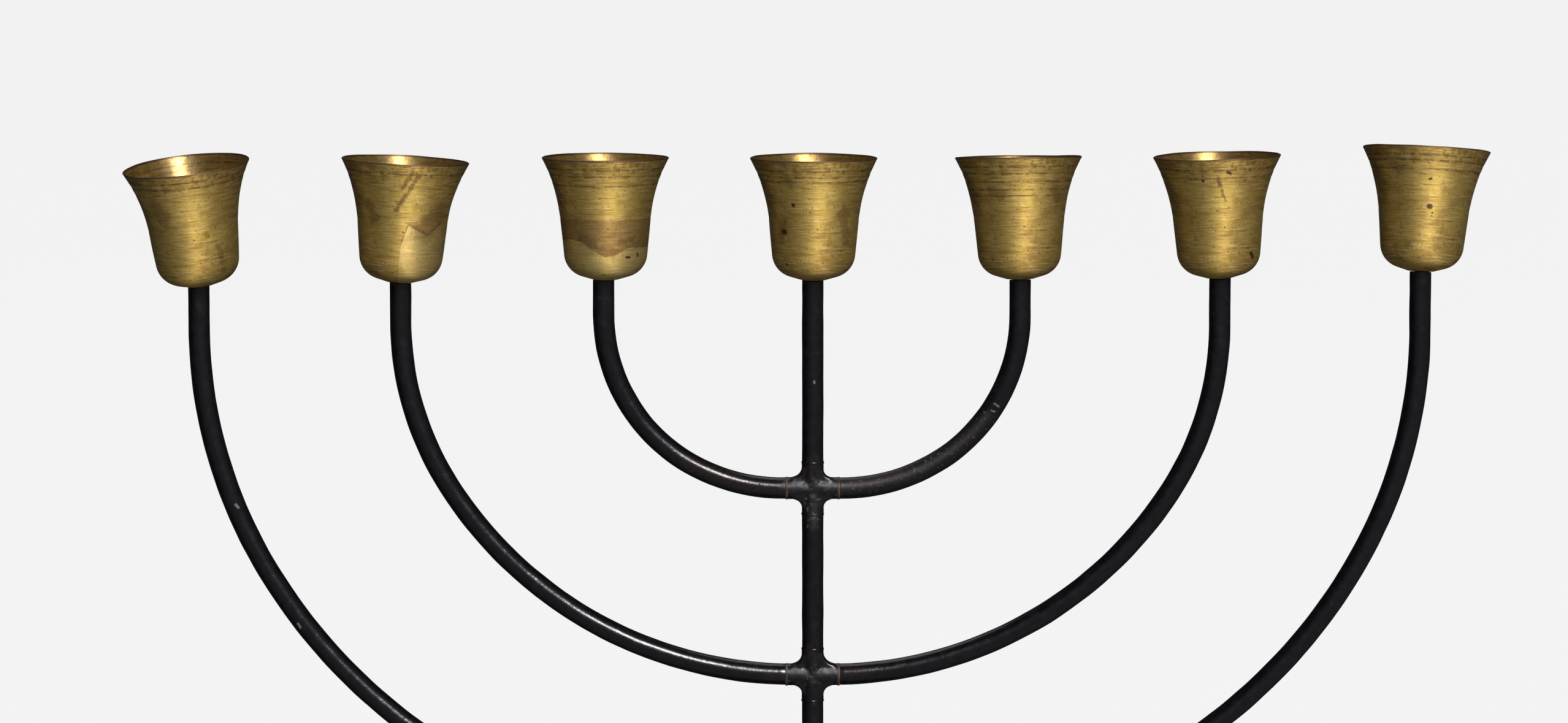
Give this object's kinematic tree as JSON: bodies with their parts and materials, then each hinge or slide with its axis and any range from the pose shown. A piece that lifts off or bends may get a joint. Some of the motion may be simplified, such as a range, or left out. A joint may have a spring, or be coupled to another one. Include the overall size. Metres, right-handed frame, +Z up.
{
  "type": "menorah",
  "caption": "Branched menorah: bell-shaped brass cups screwed to bent round iron arms that cross a central stem, on a round iron base.",
  "frame": {"origin": "centre of the underside, on the surface the menorah stands on, in line with the stem", "axes": "+Z up along the stem, +X to the right of someone facing the front, -Y towards the front; the arms lie in the XZ plane"},
  "size_m": [0.6358, 0.19, 0.4996],
  "materials": {
    "blackened_iron": "blackened and waxed, satin, rubbed to brown near the joints",
    "spun_brass": "lathe-spun, aged lacquer with brown stains and fine rings",
    "fixing_brass": "turned, dulled",
    "bright_steel": "plain zinc-plated",
    "felt": "pressed felt"
  },
  "bodies": {
    "frame": {"arm_outer_left": "blackened_iron", "arm_middle_left": "blackened_iron", "arm_inner_left": "blackened_iron", "arm_inner_right": "blackened_iron", "arm_middle_right": "blackened_iron", "arm_outer_right": "blackened_iron", "stem_top": "blackened_iron", "stem_upper": "blackened_iron", "stem_middle": "blackened_iron", "stem_foot": "blackened_iron", "cross_upper": "blackened_iron", "cross_middle": "blackened_iron", "cross_lower": "blackened_iron", "stem_collar": "blackened_iron", "base_plate": "blackened_iron", "base_washer": "bright_steel", "base_screw": "bright_steel", "felt_pad": "felt", "cup_screw_1": "fixing_brass", "cup_screw_2": "fixing_brass", "cup_screw_3": "fixing_brass", "cup_screw_4": "fixing_brass", "cup_screw_5": "fixing_brass", "cup_screw_6": "fixing_brass", "cup_screw_7": "fixing_brass", "cup_washer_1": "fixing_brass", "cup_washer_2": "fixing_brass", "cup_washer_3": "fixing_brass", "cup_washer_4": "fixing_brass", "cup_washer_5": "fixing_brass", "cup_washer_6": "fixing_brass", "cup_washer_7": "fixing_brass"},
    "cup_1": {"cup_1": "spun_brass"},
    "cup_2": {"cup_2": "spun_brass"},
    "cup_3": {"cup_3": "spun_brass"},
    "cup_4": {"cup_4": "spun_brass"},
    "cup_5": {"cup_5": "spun_brass"},
    "cup_6": {"cup_6": "spun_brass"},
    "cup_7": {"cup_7": "spun_brass"}
  },
  "joints": [
    {"name": "cup_1_turn", "type": "hinge", "parent": "frame", "child": "cup_1", "pos_m": [-0.28495, 0, 0.4324], "axis": [-0.1011, -0.104, 0.9894], "continuous": true},
    {"name": "cup_2_turn", "type": "hinge", "parent": "frame", "child": "cup_2", "pos_m": [-0.1922, 0, 0.4339], "axis": [0.0506, -0.0052, 0.9987], "continuous": true},
    {"name": "cup_3_turn", "type": "hinge", "parent": "frame", "child": "cup_3", "pos_m": [-0.09635, 0, 0.4352], "axis": [0, 0, 1], "continuous": true},
    {"name": "cup_4_turn", "type": "hinge", "parent": "frame", "child": "cup_4", "pos_m": [0.00037, 0, 0.435], "axis": [0.0017, 0, 1], "continuous": true},
    {"name": "cup_5_turn", "type": "hinge", "parent": "frame", "child": "cup_5", "pos_m": [0.09633, 0, 0.4353], "axis": [-0.0122, 0.0506, 0.9986], "continuous": true},
    {"name": "cup_6_turn", "type": "hinge", "parent": "frame", "child": "cup_6", "pos_m": [0.18913, 0, 0.4359], "axis": [-0.0262, 0, 0.9997], "continuous": true},
    {"name": "cup_7_turn", "type": "hinge", "parent": "frame", "child": "cup_7", "pos_m": [0.2828, 0, 0.439], "axis": [0.0541, 0.113, 0.9921], "continuous": true}
  ]
}
